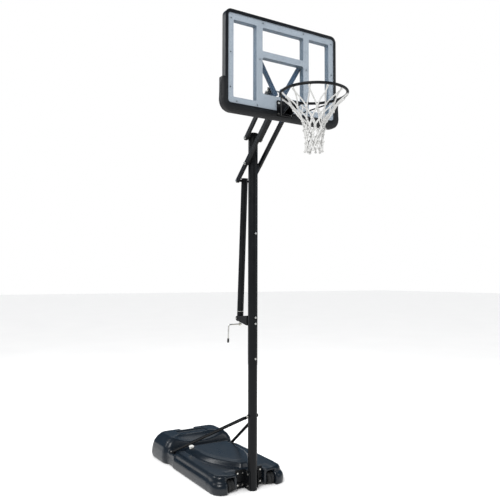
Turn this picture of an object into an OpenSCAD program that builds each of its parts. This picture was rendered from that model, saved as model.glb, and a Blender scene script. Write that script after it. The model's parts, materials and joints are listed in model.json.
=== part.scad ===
// Portable basketball hoop on a water-filled base, with a crank-driven height adjuster.
// Frame: +Z up, +X to the right of someone facing the backboard, the rim towards -Y.
// The origin is on the floor, on the pole's axis.

/* [Heights] */
// Height of the rim rod's centre above the floor, at the highest setting
rim_z = 3040; // [2990:1:3080]
// How far the backboard comes down from the highest setting
drop = 609; // [520:1:609]

/* [Pole] */
// Outer diameter of the lower pole section
lower_d = 76; // [70:1:80]
// Wall of the pole sections
pole_wall = 1.5; // [1.2:0.1:2.5]
// Height of the seam between the lower and middle sections
seam_low_z = 1008; // [950:1:1050]
// Height of the seam between the middle and upper sections
seam_high_z = 2036; // [1980:1:2060]
// Height of the top of the upper section
pole_top_z = 2922; // [2915:1:2935]

/* [Lift arms] */
// Height of the lower arms' pivot on the pole
arm_low_z = 2668; // [2650:1:2680]
// Height of the upper arms' pivot on the pole
arm_high_z = 2881; // [2870:1:2885]
// Length of an arm from its pole pivot to its board pivot
arm_len = 463; // [455:1:470]
// Length of a lower arm behind its pole pivot
arm_tail = 184; // [175:1:190]
// Rise of the arms above horizontal, at the highest setting
arm_rise = 42; // [40:1:44]
// Distance of an arm's middle from the pole's axis
arm_x = 68; // [66:1:74]
// Depth of an arm's box section
arm_h = 38; // [32:1:42]
// Thickness of an arm's box section
arm_t = 20; // [16:1:24]

/* [Height jack] */
// Distance of the jack's lower pivot behind the pole's axis
jack_y = 205; // [195:1:215]
// Height of the jack's lower pivot
jack_z = 1376; // [1340:1:1400]
// Outer diameter of the jack's outer tube
jack_d = 55; // [50:1:56]
// Throw of the crank
crank_throw = 110; // [90:1:120]

/* [Backboard] */
// Width of the part of the face that shows
face_w = 986; // [960:1:1000]
// Height of the part of the face that shows
face_h = 674; // [660:1:680]
// Distance of the backboard's front from the pole's axis
board_y = 452; // [450:1:460]
// Width of the black edge trim
trim_w = 25; // [20:1:28]
// Depth of the edge trim, front to back
trim_depth = 48; // [40:1:50]
// Depth of the walls round the windows
rib_depth = 50; // [42:1:56]

/* [Rim] */
// Inner diameter of the rim
rim_in_d = 457; // [450:1:460]
// Diameter of the rim's rod
rim_rod = 20; // [16:1:20]
// Gap between the backboard and the rim's inner edge
rim_gap = 150; // [140:1:155]
// Length of the net below the rim
net_len = 425; // [380:1:450]

/* [Base] */
// Half the width of the tank's front part
tank_x = 345; // [335:1:350]
// Half the width of the tank's rear block
block_x = 372; // [366:1:380]
// Distance of the tank's rear end behind the pole's axis
tank_end = 1305; // [1295:1:1320]
// Wall of the blow-moulded tank
tank_wall = 5; // [4:0.5:6]
// Diameter of a transport wheel
wheel_d = 96; // [90:1:98]

/* [Hidden] */

$fn = 64;

// Finishes
BLACK = [0.07, 0.075, 0.08];
TANK_BLACK = [0.09, 0.11, 0.14];
GREY = [0.66, 0.71, 0.76];
CLEAR = [0.85, 0.9, 0.95, 0.3];
ZINC = [0.72, 0.72, 0.7];
STEEL_BLUE = [0.2, 0.24, 0.3];
WHITE = [0.93, 0.93, 0.92];

// Fits
fit = 0.05;      // radial clearance of a pin that turns
gap = 0.3;       // space between faces that move past each other
loose = 0.2;     // radial clearance of a bolt that only clamps

// Pole
foot_h = 6;
sleeve_in = 120;
upper_d = lower_d + 0.2 + 2 * pole_wall;
upper_in = lower_d + 0.2;
joint_bolt_rise = 50;
joint_bolt_d = 10;
jack_bolt_z = [1344, 1394];
brace_top_z = 593;
foot_bolt_z = [38, 130];

// Arms
pivot_d = 12;
arm_in = arm_x - arm_t / 2;
arm_out = arm_x + arm_t / 2;
arm_side_gap = 0.5;
sleeve_d = 24;
head_h = 8;
washer_t = 3;
pin_sleeve_d = 20;
board_pivot_y = -arm_len * cos(arm_rise);
board_low_z = arm_low_z + arm_len * sin(arm_rise);
board_high_z = arm_high_z + arm_len * sin(arm_rise);
tail_y = arm_tail * cos(arm_rise);
tail_z = arm_low_z - arm_tail * sin(arm_rise);

// Jack: it leans towards the pole by jack_lean, and is measured along its own axis
jack_len = norm([jack_y - tail_y, tail_z - jack_z]);
jack_lean = atan2(jack_y - tail_y, tail_z - jack_z);
jack_in_d = jack_d - 6;
inner_d = jack_in_d - 2 * gap;
screw_d = 16;
housing_low = -24;
housing_top = 58;
outer_low = 62;
outer_top = jack_len + 18;
low_rise = asin(sin(arm_rise) - drop / arm_len);
low_tail_y = arm_tail * cos(low_rise);
low_tail_z = arm_low_z - arm_tail * sin(low_rise);
jack_travel = norm([jack_y - low_tail_y, low_tail_z - jack_z]) - jack_len;
inner_top = 820;
nut_low = 850;
nut_h = 40;
screw_top = nut_low + nut_h + jack_travel;
eye_s = -52;
eye_d = 26;
rod_d = 12;
crank_bend = 18;
crank_drop = 150;
plate_x = 31;
plate_t = 3;
pin_reach = 14;

// Backboard
face_low = rim_z - 40;
face_mid_z = face_low + face_h / 2;
face_hw = face_w / 2;
trim_skin = 3;
corner_out = 50;
corner_in = 25;
board_front = -board_y;
trim_front = board_front - 2;
trim_back = trim_front + trim_depth;
sheet_t = 3;
sheet_front = trim_front + trim_skin;
rib_front = sheet_front + sheet_t + gap;
rib_back = rib_front + rib_depth;
edge_back = trim_back - trim_skin - gap;
bracket_y = rib_back + gap;
rib_wall = 4;
hidden_edge = 20;
win_low = 47;
win_high = 625;
side_win = [246, 446];
mid_win = 192;
mid_low = [110, 393];
mid_high = [441, 623];
win_r = 10;
rail_rib_x = [300, 340, 400];

// Edge pad
pad_out = 58;
pad_drop = 72;
pad_rise = 192;
pad_front = trim_front - 9;
pad_back = trim_back + 9;
pad_r_out = 94;
pad_r_in = 38;

// Rim
rim_r = rim_in_d / 2 + rim_rod / 2;
rim_y = board_front - rim_gap - rim_in_d / 2;
plate_hw = 68;
plate_low = face_low - 42;
plate_high = face_low + 80;
rim_plate_t = 5;
rim_plate_back = trim_front - gap;
rim_plate_front = rim_plate_back - rim_plate_t;
neck_hw = 40;
neck_t = 5;
brace_rod = 10;
hook_wire = 4;
hook_r = 9;
hooks = 12;
net_wall = 5;

// Foot and base
front_wall_y = 62;
flange_t = 4;
web_x = lower_d / 2 + 1;
wheel_x = 190;
wheel_w = 58;
wheel_y = 50;
wheel_z = wheel_d / 2 + 3;
axle_d = 12;
axle_reach = 256;
pocket_in = 150;
pocket_out = 230;
pocket_back = 112;
pocket_top = 116;
cheek_in = 128;
cheek_front = 20;
groove_y = [846, 935];
groove_x = 337;
groove_z = 119;
deck_z = 185;
block_z = 226;
notch_hw = 75;
notch_front = 1218;
notch_z = 194;
ballast_gap = 12;
ballast_top = 84;
fill_x = -188;
fill_y = 750;
fill_d = 34;
cap_d = 46;
brace_end = [318, 900, 122];
brace_d = 27;
lug_t = 5;
lug_bolt_d = 10;

// ---------- Shared shapes ----------

// Cylinder along X from x0 to x1 at y, z
module along_x(x0, x1, y, z, d) {
  translate([x0, y, z]) rotate([0, 90, 0]) cylinder(h = x1 - x0, d = d);
}

// Cylinder along Y from y0 to y1 at x, z
module along_y(y0, y1, x, z, d) {
  translate([x, y0, z]) rotate([-90, 0, 0]) cylinder(h = y1 - y0, d = d);
}

// Round rod between two points
module rod(a, b, d) {
  v = b - a;
  translate(a) rotate([0, acos(v[2] / norm(v)), atan2(v[1], v[0])]) cylinder(h = norm(v), d = d);
}

// Hexagon prism along X, centred at y, z
module hex_x(x0, x1, y, z, across) {
  translate([x0, y, z]) rotate([0, 90, 0]) cylinder(h = x1 - x0, d = across / cos(30), $fn = 6);
}

// Hexagon prism along Y, centred at x, z
module hex_y(y0, y1, x, z, across) {
  translate([x, y0, z]) rotate([-90, 0, 0]) cylinder(h = y1 - y0, d = across / cos(30), $fn = 6);
}

// Bolt along X with its head at -X and its nut at +X
module bolt_x(x0, x1, y, z, d) {
  along_x(x0, x1, y, z, d);
  hex_x(x0 - head_h, x0, y, z, 1.6 * d);
  hex_x(x1, x1 + head_h, y, z, 1.6 * d);
}

// Pivot bolt along X through both arms, with a washer under its head and under its nut
module pivot_bolt(y, z) {
  reach = arm_out + arm_side_gap + washer_t;
  bolt_x(-reach, reach, y, z, pivot_d);
  for (x = [-reach, reach - washer_t]) along_x(x, x + washer_t, y, z, 2.2 * pivot_d);
}

// Bolt along Y with its head at -Y and its nut at +Y
module bolt_y(y0, y1, x, z, d) {
  along_y(y0, y1, x, z, d);
  hex_y(y0 - head_h, y0, x, z, 1.6 * d);
  hex_y(y1, y1 + head_h, x, z, 1.6 * d);
}

// Rectangle with round corners, from [x0, y0] to [x1, y1]
module round_rect(x0, y0, x1, y1, r) {
  translate([x0 + r, y0]) square([x1 - x0 - 2 * r, y1 - y0]);
  translate([x0, y0 + r]) square([x1 - x0, y1 - y0 - 2 * r]);
  for (x = [x0 + r, x1 - r], y = [y0 + r, y1 - r]) translate([x, y]) circle(r);
}

// A sheet cut from an outline drawn in X and Z, from y0 to y1
module board_sheet(y0, y1) {
  translate([0, y1, 0]) rotate([90, 0, 0]) linear_extrude(y1 - y0) children();
}

// A plate cut from an outline drawn in Y and Z, from x0 to x1
module side_plate(x0, x1) {
  translate([x0, 0, 0]) rotate([90, 0, 90]) linear_extrude(x1 - x0) children();
}

// Places its children in the jack's frame: the lower pivot at 0, the axis along Z
module on_jack() {
  translate([0, jack_y, jack_z]) rotate([jack_lean, 0, 0]) children();
}

// ---------- Pole ----------

// Every cross hole that is drilled through the pole
module pole_holes() {
  for (z = [seam_low_z, seam_high_z]) {
    along_y(-60, 60, 0, z + joint_bolt_rise, joint_bolt_d + 2 * loose);
  }
  for (z = jack_bolt_z) along_y(-60, 60, 0, z, joint_bolt_d + 2 * loose);
  for (z = concat(foot_bolt_z, [brace_top_z])) along_x(-60, 60, 0, z, lug_bolt_d + 2 * loose);
  for (z = [arm_low_z, arm_high_z]) along_x(-60, 60, 0, z, pivot_d + 2 * loose);
}

module pole_foot() {
  color(BLACK) {
    cylinder(h = foot_h, d = lower_d);
    translate([0, 0, foot_h]) cylinder(h = 20, d = lower_d - 2 * pole_wall - 2 * loose);
  }
}

module pole_lower() {
  color(BLACK) difference() {
    translate([0, 0, foot_h]) cylinder(h = seam_low_z + sleeve_in - foot_h, d = lower_d);
    cylinder(h = seam_low_z + sleeve_in + 1, d = lower_d - 2 * pole_wall);
    pole_holes();
  }
}

// The middle section ends in a neck that the upper section slides over
module pole_middle() {
  r_out = upper_d / 2;
  r_in = upper_in / 2;
  r_neck = lower_d / 2;
  color(BLACK) difference() {
    rotate_extrude() polygon([
      [r_in, seam_low_z], [r_out, seam_low_z], [r_out, seam_high_z], [r_neck, seam_high_z],
      [r_neck, seam_high_z + sleeve_in], [r_neck - pole_wall, seam_high_z + sleeve_in],
      [r_neck - pole_wall, seam_high_z - 6], [r_in, seam_high_z - 6]
    ]);
    pole_holes();
  }
}

module pole_upper() {
  color(BLACK) difference() {
    translate([0, 0, seam_high_z]) cylinder(h = pole_top_z - seam_high_z, d = upper_d);
    translate([0, 0, seam_high_z - 1]) cylinder(h = pole_top_z - seam_high_z + 2, d = upper_in);
    pole_holes();
  }
}

module pole_cap() {
  color(BLACK) {
    translate([0, 0, pole_top_z]) cylinder(h = 5, d = upper_d);
    translate([0, 0, pole_top_z - 18]) cylinder(h = 18, d = upper_in - 2 * loose);
  }
}

module pole_joint_bolts() {
  reach = upper_d / 2;
  color(ZINC) for (z = [seam_low_z, seam_high_z]) {
    bolt_y(-reach, reach, 0, z + joint_bolt_rise, joint_bolt_d);
  }
}

// ---------- Foot, base and wheels ----------

// Outline of one foot bracket's flange, which is bolted to the tank's front wall
module foot_flange(side) {
  board_sheet(front_wall_y - flange_t, front_wall_y) {
    difference() {
      translate([side > 0 ? web_x : -web_x - 88, 12]) square([88, 144]);
      for (x = [62, 108], z = [35, 130]) translate([side * x, z]) circle(d = 8 + 2 * loose);
    }
  }
}

// Web of a foot bracket, which stands beside the pole and carries the axle
module foot_web(side) {
  x0 = side > 0 ? web_x : -web_x - flange_t;
  difference() {
    side_plate(x0, x0 + flange_t) {
      polygon([
        [-24, 20], [-24, 148], [-16, 156], [front_wall_y, 156], [front_wall_y, 12], [-16, 12]
      ]);
    }
    for (z = foot_bolt_z) along_x(-60, 60, 0, z, lug_bolt_d + 2 * loose);
    along_x(-60, 60, wheel_y, wheel_z, axle_d + 2 * loose);
  }
}

module foot_bracket(side) {
  color(BLACK) {
    foot_flange(side);
    foot_web(side);
  }
}

module foot_bolts() {
  reach = web_x + flange_t;
  color(ZINC) for (z = foot_bolt_z) bolt_x(-reach, reach, 0, z, lug_bolt_d);
}

// Short bolts that hold the two flanges to the tank
module flange_bolts() {
  color(ZINC) for (side = [-1, 1], x = [62, 108], z = [35, 130]) {
    along_y(front_wall_y - flange_t, front_wall_y + 22, side * x, z, 8);
    hex_y(front_wall_y - flange_t - 6, front_wall_y - flange_t, side * x, z, 13);
  }
}

module axle() {
  color(ZINC) along_x(-axle_reach, axle_reach, wheel_y, wheel_z, axle_d);
}

// Transport wheel with a hub, a web and two grooves in its tread
module wheel(side) {
  r = wheel_d / 2;
  w = wheel_w / 2;
  bore = axle_d / 2 + fit;
  color(BLACK) translate([side * wheel_x, wheel_y, wheel_z]) rotate([0, 90, 0]) rotate_extrude() {
    polygon([
      [bore, -w], [15, -w], [15, -w + 8], [r - 12, -w + 8], [r - 12, -w], [r - 5, -w],
      [r, -w + 6], [r, -w + 18], [r - 3, -w + 20], [r - 3, -w + 23], [r, -w + 25],
      [r, w - 25], [r - 3, w - 23], [r - 3, w - 20], [r, w - 18], [r, w - 6], [r - 5, w],
      [r - 12, w], [r - 12, w - 8], [15, w - 8], [15, w], [bore, w]
    ]);
  }
}

// Front view of the tank's front part, drawn in X and Z and made smaller by t
module tank_front_view(t) {
  half = [
    [tank_x - t, t], [tank_x - t, 95], [tank_x - 20 - t, 140 - t], [232 - t, 150 - t],
    [215 - t, deck_z - t]
  ];
  polygon(concat(half, [for (i = [len(half) - 1:-1:0]) [-half[i][0], half[i][1]]]));
}

// Side view of the tank's front part, drawn in Y and Z and made smaller by t
module tank_side_view(t) {
  polygon([
    [-15 + t, t], [-15 + t, 80], [22 + t, 140 - t], [92 + t, 150 - t], [122 + t, deck_z - t],
    [796 - t, deck_z - t], [826 - t, 150 - t], [groove_y[0] - t, groove_z - t],
    [groove_y[0] - t, t]
  ]);
}

// Rear block of the tank, with its slanted sides and round rear corners, made smaller by t
module tank_block(t) {
  half = [
    [block_x - t, t], [block_x - t, 45], [tank_x - t, 150 - t], [262 - t, block_z - t]
  ];
  intersection() {
    board_sheet(groove_y[1], tank_end) {
      polygon(concat(half, [for (i = [len(half) - 1:-1:0]) [-half[i][0], half[i][1]]]));
    }
    side_plate(-block_x, block_x) polygon([
      [groove_y[1] + t, t], [groove_y[1] + t, groove_z - t], [958 + t, 150 - t],
      [984 + t, 208 - t], [1012, block_z - t], [1270, 222 - t], [1300 - t, 188 - t],
      [tank_end - t, t]
    ]);
    linear_extrude(300) {
      round_rect(-block_x + t, groove_y[1] + t, block_x - t, tank_end - t, 70);
    }
  }
}

// Outside of the tank before the pockets are cut
module tank_outside() {
  intersection() {
    board_sheet(-15, groove_y[0]) tank_front_view(0);
    side_plate(-tank_x, tank_x) tank_side_view(0);
    linear_extrude(300) round_rect(-tank_x, -15, tank_x, groove_y[0] + 60, 58);
  }
  translate([-groove_x, groove_y[0] - 1, 0]) {
    cube([2 * groove_x, groove_y[1] - groove_y[0] + 2, groove_z]);
  }
  tank_block(0);
}

// Room inside the tank, which the ballast fills up to the height top
module tank_room(t, top) {
  intersection() {
    union() {
      intersection() {
        board_sheet(-15, groove_y[0]) tank_front_view(t);
        side_plate(-tank_x, tank_x) tank_side_view(t);
        union() {
          linear_extrude(300) round_rect(-tank_x + t, 128 + t, tank_x - t, 930, 40);
          linear_extrude(300) translate([-120 + t, 90 + t]) square([240 - 2 * t, 100]);
        }
      }
      translate([-groove_x + t, groove_y[0] - 10, t]) {
        cube([2 * (groove_x - t), groove_y[1] - groove_y[0] + 20, groove_z - 2 * t]);
      }
      tank_block(t);
    }
    translate([-500, -100, 0]) cube([1000, 1500, top]);
    difference() {
      translate([-500, -100, 0]) cube([1000, 1500, 300]);
      translate([-notch_hw - t, notch_front - t, notch_z - t]) cube([2 * (notch_hw + t), 99, 99]);
    }
  }
}

module base_tank() {
  color(TANK_BLACK) difference() {
    union() {
      difference() {
        tank_outside();
        translate([-pocket_in, -40, -1]) cube([2 * pocket_in, front_wall_y + 40, 300]);
        for (side = [-1, 1]) {
          translate([side > 0 ? pocket_in : -pocket_out, -40, -1]) {
            cube([pocket_out - pocket_in, pocket_back + 40, pocket_top + 1]);
          }
        }
      }
      for (side = [-1, 1]) {
        translate([side > 0 ? cheek_in : -pocket_in, cheek_front, 18]) {
          cube([pocket_in - cheek_in, front_wall_y - cheek_front + 1, 92]);
        }
      }
    }
    tank_room(tank_wall, 300);
    translate([-notch_hw, notch_front, notch_z]) cube([2 * notch_hw, 99, 99]);
    translate([fill_x, fill_y, deck_z - 30]) cylinder(h = 60, d = fill_d + 2 * gap);
    along_x(-axle_reach - 1, axle_reach + 1, wheel_y, wheel_z, axle_d + 2 * loose);
    for (side = [-1, 1], x = [62, 108], z = [35, 130]) {
      along_y(front_wall_y - 1, front_wall_y + 24, side * x, z, 8 + 2 * loose);
    }
    for (side = [-1, 1]) {
      translate([side * brace_end[0], brace_end[1], 60]) cylinder(h = 90, d = lug_bolt_d + 2 * loose);
    }
  }
}

module ballast() {
  color([0.3, 0.45, 0.6]) difference() {
    tank_room(tank_wall + ballast_gap, ballast_top);
    for (side = [-1, 1]) {
      translate([side * brace_end[0], brace_end[1], 60]) cylinder(h = 90, d = 50);
    }
  }
}

module fill_cap() {
  color(WHITE) translate([fill_x, fill_y, 0]) {
    translate([0, 0, deck_z - 14]) cylinder(h = 14 + gap, d = fill_d);
    translate([0, 0, deck_z + gap]) cylinder(h = 9, d = cap_d);
    translate([0, 0, deck_z + gap + 9]) cylinder(h = 5, d = cap_d - 14);
  }
}

// Base brace: a tube from a lug on the pole's side to a lug on the tank
module brace(side) {
  top = [side * (upper_d / 2 + lug_t / 2), 0, brace_top_z];
  low = [side * brace_end[0], brace_end[1], brace_end[2]];
  run = (low - top) / norm(low - top);
  color(BLACK) difference() {
    union() {
      rod(top + 46 * run, low - 24 * run, brace_d);
      side_plate(top[0] - lug_t / 2, top[0] + lug_t / 2) {
        translate([0, brace_top_z]) circle(d = 30);
        translate([0, brace_top_z]) rotate(atan2(run[2], run[1])) translate([0, -12]) square([62, 24]);
      }
      rod(top + 40 * run, top + 50 * run, 16);
      translate([low[0], low[1], low[2] - lug_t / 2]) cylinder(h = lug_t, d = 34);
      translate([low[0], low[1], low[2] - lug_t / 2]) rotate(atan2(-run[1], -run[0])) {
        translate([0, -13, 0]) cube([46, 26, lug_t]);
      }
    }
    along_x(-80, 80, 0, brace_top_z, lug_bolt_d + 2 * loose);
    translate([low[0], low[1], low[2] - 20]) cylinder(h = 40, d = lug_bolt_d + 2 * loose);
    translate([low[0] - 60, low[1] - 60, low[2] - 30]) cube([120, 120, 30 - lug_t / 2]);
    side_plate(side > 0 ? 0 : -upper_d / 2, side > 0 ? upper_d / 2 : 0) {
      translate([-60, brace_top_z - 90]) square([160, 160]);
    }
  }
}

module brace_bolts() {
  reach = upper_d / 2 + lug_t;
  color(ZINC) {
    bolt_x(-reach, reach, 0, brace_top_z, lug_bolt_d);
    for (side = [-1, 1]) translate([side * brace_end[0], brace_end[1], 0]) {
      translate([0, 0, 80]) cylinder(h = brace_end[2] + lug_t / 2 - 80, d = lug_bolt_d);
      translate([0, 0, brace_end[2] + lug_t / 2]) cylinder(h = 7, d = 18, $fn = 6);
    }
  }
}

// ---------- Lift arms ----------

// Box-section arm with round ends, lying along Y from -tail to len, with a bore at each pivot
module arm_tube(len, tail) {
  ends = tail > 0 ? [-tail, len] : [0, len];
  bores = tail > 0 ? [-tail, 0, len] : [0, len];
  difference() {
    union() {
      translate([-arm_t / 2, ends[0], -arm_h / 2]) cube([arm_t, ends[1] - ends[0], arm_h]);
      for (y = ends) along_x(-arm_t / 2, arm_t / 2, y, 0, arm_h);
    }
    for (i = [0:len(bores) - 2]) {
      translate([-arm_t / 2 + 2, bores[i] + 22, -arm_h / 2 + 2]) {
        cube([arm_t - 4, bores[i + 1] - bores[i] - 44, arm_h - 4]);
      }
    }
    for (y = bores) along_x(-arm_t, arm_t, y, 0, pivot_d + 2 * fit);
  }
}

module lift_arm(side, z, tail) {
  color(BLACK) translate([side * arm_x, 0, z]) rotate([180 - arm_rise, 0, 0]) arm_tube(arm_len, tail);
}

// Spacers between the pole and the arms, shaped to the pole's surface
module arm_sleeves() {
  color(BLACK) difference() {
    for (side = [-1, 1], z = [arm_low_z, arm_high_z]) {
      x0 = side > 0 ? 30 : -arm_in + arm_side_gap;
      along_x(x0, x0 + arm_in - arm_side_gap - 30, 0, z, sleeve_d);
    }
    translate([0, 0, arm_low_z - 50]) cylinder(h = 400, d = upper_d + 2 * fit);
    for (z = [arm_low_z, arm_high_z]) along_x(-90, 90, 0, z, pivot_d + 2 * loose);
  }
}

module arm_pivot_bolts() {
  color(ZINC) for (z = [arm_low_z, arm_high_z]) pivot_bolt(0, z);
}

// Pins of the lower arms' tails. Each one stops just outside the jack's tube.
module jack_top_pins() {
  inner = jack_d / 2 + 0.6;
  color(ZINC) for (side = [-1, 1]) {
    along_x(side > 0 ? inner : -arm_out - 2, side > 0 ? arm_out + 2 : -inner, tail_y, tail_z, pivot_d);
    hex_x(side > 0 ? arm_out + 0.1 : -arm_out - head_h, side > 0 ? arm_out + head_h : -arm_out - 0.1,
      tail_y, tail_z, 1.6 * pivot_d);
  }
}

module jack_pin_sleeves() {
  inner = jack_d / 2 + 0.8;
  color(BLACK) difference() {
    for (side = [-1, 1]) {
      along_x(side > 0 ? inner : -arm_in + 0.1, side > 0 ? arm_in - 0.1 : -inner, tail_y, tail_z,
        pin_sleeve_d);
    }
    along_x(-90, 90, tail_y, tail_z, pivot_d + 2 * loose);
  }
}

// ---------- Height jack and crank ----------

// Channel bracket on the back of the pole that carries the jack
module jack_bracket() {
  back = upper_d / 2 + fit;
  color(BLACK) difference() {
    union() {
      for (side = [-1, 1]) {
        x0 = side > 0 ? plate_x : -plate_x - plate_t;
        side_plate(x0, x0 + plate_t) {
          difference() {
            union() {
              polygon([
                [back, jack_bolt_z[0] - 18], [back + 28, jack_bolt_z[0] - 14], [jack_y - 6, jack_z - 19],
                [jack_y + 6, jack_z + 19], [jack_y - 40, jack_z + 22], [back, jack_bolt_z[1] + 12]
              ]);
              translate([jack_y, jack_z]) circle(20);
            }
            translate([jack_y, jack_z]) circle(d = 10 + 2 * loose);
          }
        }
      }
      translate([-plate_x - plate_t, back, jack_bolt_z[0] - 18]) {
        cube([2 * (plate_x + plate_t), 4, jack_bolt_z[1] - jack_bolt_z[0] + 30]);
      }
    }
    for (z = jack_bolt_z) along_y(0, 80, 0, z, joint_bolt_d + 2 * loose);
  }
}

module jack_bracket_bolts() {
  color(ZINC) for (z = jack_bolt_z) bolt_y(-upper_d / 2, upper_d / 2 + 4 + 2 * fit, 0, z, joint_bolt_d);
}

// Short pins through the bracket's two plates that the jack's housing swings on
module jack_pivot_pins() {
  outer = plate_x + plate_t;
  color(ZINC) for (side = [-1, 1]) {
    along_x(side > 0 ? pin_reach : -outer - 1, side > 0 ? outer + 1 : -pin_reach, jack_y, jack_z, 10);
    hex_x(side > 0 ? outer : -outer - head_h, side > 0 ? outer + head_h : -outer, jack_y, jack_z, 16);
  }
}

// Bearing housing at the jack's foot
module jack_housing() {
  color(BLACK) difference() {
    on_jack() translate([0, 0, housing_low]) {
      difference() {
        cylinder(h = housing_top - housing_low, d = jack_d);
        translate([0, 0, -1]) cylinder(h = housing_top - housing_low + 2, d = screw_d + 2 * fit);
        translate([0, 0, housing_top - housing_low - 12]) cylinder(h = 20, d = inner_d + 0.1);
      }
    }
    for (side = [-1, 1]) {
      along_x(side > 0 ? pin_reach - 1 : -60, side > 0 ? 60 : -pin_reach + 1, jack_y, jack_z,
        10 + 2 * fit);
    }
  }
}

module jack_inner_tube() {
  color(ZINC) on_jack() difference() {
    translate([0, 0, housing_top - 12]) cylinder(h = inner_top - housing_top + 12, d = inner_d);
    cylinder(h = inner_top + 1, d = inner_d - 6);
  }
}

module jack_outer_tube() {
  color(BLACK) on_jack() difference() {
    translate([0, 0, outer_low]) cylinder(h = outer_top - outer_low, d = jack_d);
    translate([0, 0, outer_low - 1]) cylinder(h = outer_top - outer_low + 2, d = jack_in_d);
  }
}

module jack_nut() {
  color(ZINC) on_jack() translate([0, 0, nut_low]) difference() {
    cylinder(h = nut_h, d = jack_in_d - 0.1);
    translate([0, 0, -1]) cylinder(h = nut_h + 2, d = screw_d + 2 * fit);
  }
}

module jack_cap() {
  color(BLACK) on_jack() {
    translate([0, 0, outer_top]) cylinder(h = 5, d = jack_d + 4);
    translate([0, 0, outer_top - 12]) cylinder(h = 12, d = jack_in_d - 0.1);
  }
}

// Lifting screw with the eye that takes the crank
module jack_screw() {
  color(ZINC) on_jack() difference() {
    union() {
      translate([0, 0, eye_s + 8]) cylinder(h = screw_top - eye_s - 8, d = screw_d);
      along_x(-6, 6, 0, eye_s, eye_d);
    }
    along_x(-20, 20, 0, eye_s, rod_d + 2 * loose);
  }
}

// Crank: a rod through the eye, bent down into a handle
module crank_rod() {
  bend_x = -crank_throw + crank_bend;
  color(ZINC) on_jack() {
    along_x(bend_x, 18, 0, eye_s, rod_d);
    translate([bend_x, 0, eye_s - crank_bend]) rotate([90, 0, 0]) rotate([0, 0, 90]) {
      rotate_extrude(angle = 90) translate([crank_bend, 0]) circle(d = rod_d, $fn = 32);
    }
    translate([-crank_throw, 0, eye_s - crank_drop + 12]) {
      cylinder(h = crank_drop - crank_bend - 12, d = rod_d);
    }
  }
}

module crank_tip() {
  color(BLACK) on_jack() translate([-crank_throw, 0, eye_s - crank_drop]) {
    difference() {
      cylinder(h = 34, d = rod_d + 5);
      translate([0, 0, 12]) cylinder(h = 30, d = rod_d + 0.1);
    }
  }
}

// ---------- Backboard ----------

// Outline of the four windows, in X and Z above the face's lower edge, made larger by t
module windows(t) {
  for (side = [-1, 1]) {
    x0 = side > 0 ? side_win[0] : -side_win[1];
    round_rect(x0 - t, win_low - t, x0 + side_win[1] - side_win[0] + t, win_high + t, win_r);
  }
  round_rect(-mid_win - t, mid_low[0] - t, mid_win + t, mid_low[1] + t, win_r + 8);
  round_rect(-mid_win - t, mid_high[0] - t, mid_win + t, mid_high[1] + t, win_r);
}

// Outline of the board inside the edge trim, made smaller by t
module board_outline(t) {
  e = hidden_edge - t;
  round_rect(-face_hw - e, -e, face_hw + e, face_h + e, corner_out - 5 - t);
}

// Moulded frame: a front skin with a wall round each window and round the edge, open behind
module rib_frame() {
  color(GREY) translate([0, 0, face_low]) {
    board_sheet(rib_front, rib_front + rib_wall) difference() {
      board_outline(0);
      windows(0);
    }
    board_sheet(rib_front, edge_back) difference() {
      board_outline(0);
      board_outline(rib_wall);
    }
    board_sheet(rib_front, rib_back) difference() {
      union() {
        windows(rib_wall);
        for (x = [-140:70:140]) translate([x - 2, 2]) square([4, mid_low[0]]);
        for (side = [-1, 1], x = rail_rib_x) translate([side * x - 2, 2]) square([4, win_low]);
      }
      windows(0);
    }
  }
}

module clear_sheet() {
  color(CLEAR) translate([0, 0, face_low]) {
    board_sheet(sheet_front, sheet_front + sheet_t) board_outline(0);
  }
}

// Places of the small screws on the face, in X and Z above its lower edge
SCREWS = concat(
  [for (s = [-1, 1], p = [[470, 631], [191, 655], [472, 376], [217, 370], [474, 116]]) [s * p[0], p[1]]],
  [for (s = [-1, 1], x = [242, 419]) [s * x, 15]]
);

module face_screws() {
  color(BLACK) translate([0, 0, face_low]) for (p = SCREWS) {
    along_y(sheet_front - 2, sheet_front, p[0], p[1], 9);
  }
}

// Channel that holds the sheet and the frame's edge all round
module edge_trim() {
  inner = hidden_edge + 1;
  color(BLACK) translate([0, 0, face_low]) {
    board_sheet(trim_front, trim_back) difference() {
      round_rect(-face_hw - trim_w, -trim_w, face_hw + trim_w, face_h + trim_w, corner_out);
      round_rect(-face_hw - inner, -inner, face_hw + inner, face_h + inner, corner_out - trim_w + inner);
    }
    for (y = [trim_front, trim_back - trim_skin]) board_sheet(y, y + trim_skin) difference() {
      round_rect(-face_hw - inner - 1, -inner - 1, face_hw + inner + 1, face_h + inner + 1,
        corner_out - trim_w + inner);
      round_rect(-face_hw, 0, face_hw, face_h, corner_in);
    }
  }
}

// Outline of the edge pad in X and Z: a U round the lower edge and both lower corners
module pad_outline(inner) {
  difference() {
    round_rect(-face_hw - pad_out, -pad_drop, face_hw + pad_out, pad_rise + 200, pad_r_out);
    round_rect(-face_hw + inner, -inner, face_hw - inner, pad_rise + 300, pad_r_in);
    translate([-face_hw - 100, pad_rise]) square([face_w + 200, 400]);
  }
}

module edge_pad() {
  clear = 0.4;
  color(BLACK) translate([0, 0, face_low]) difference() {
    board_sheet(pad_front, pad_back) pad_outline(0);
    board_sheet(trim_front - clear, trim_back + clear) {
      round_rect(-face_hw - trim_w - clear, -trim_w - clear, face_hw + trim_w + clear,
        face_h + trim_w, corner_out);
    }
    translate([-plate_hw - 3, pad_front - 1, plate_low - face_low - 3]) {
      cube([2 * plate_hw + 6, trim_front - clear - pad_front + 2, 100]);
    }
    translate([-80, trim_back, -48]) cube([160, 60, 80]);
  }
}

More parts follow.
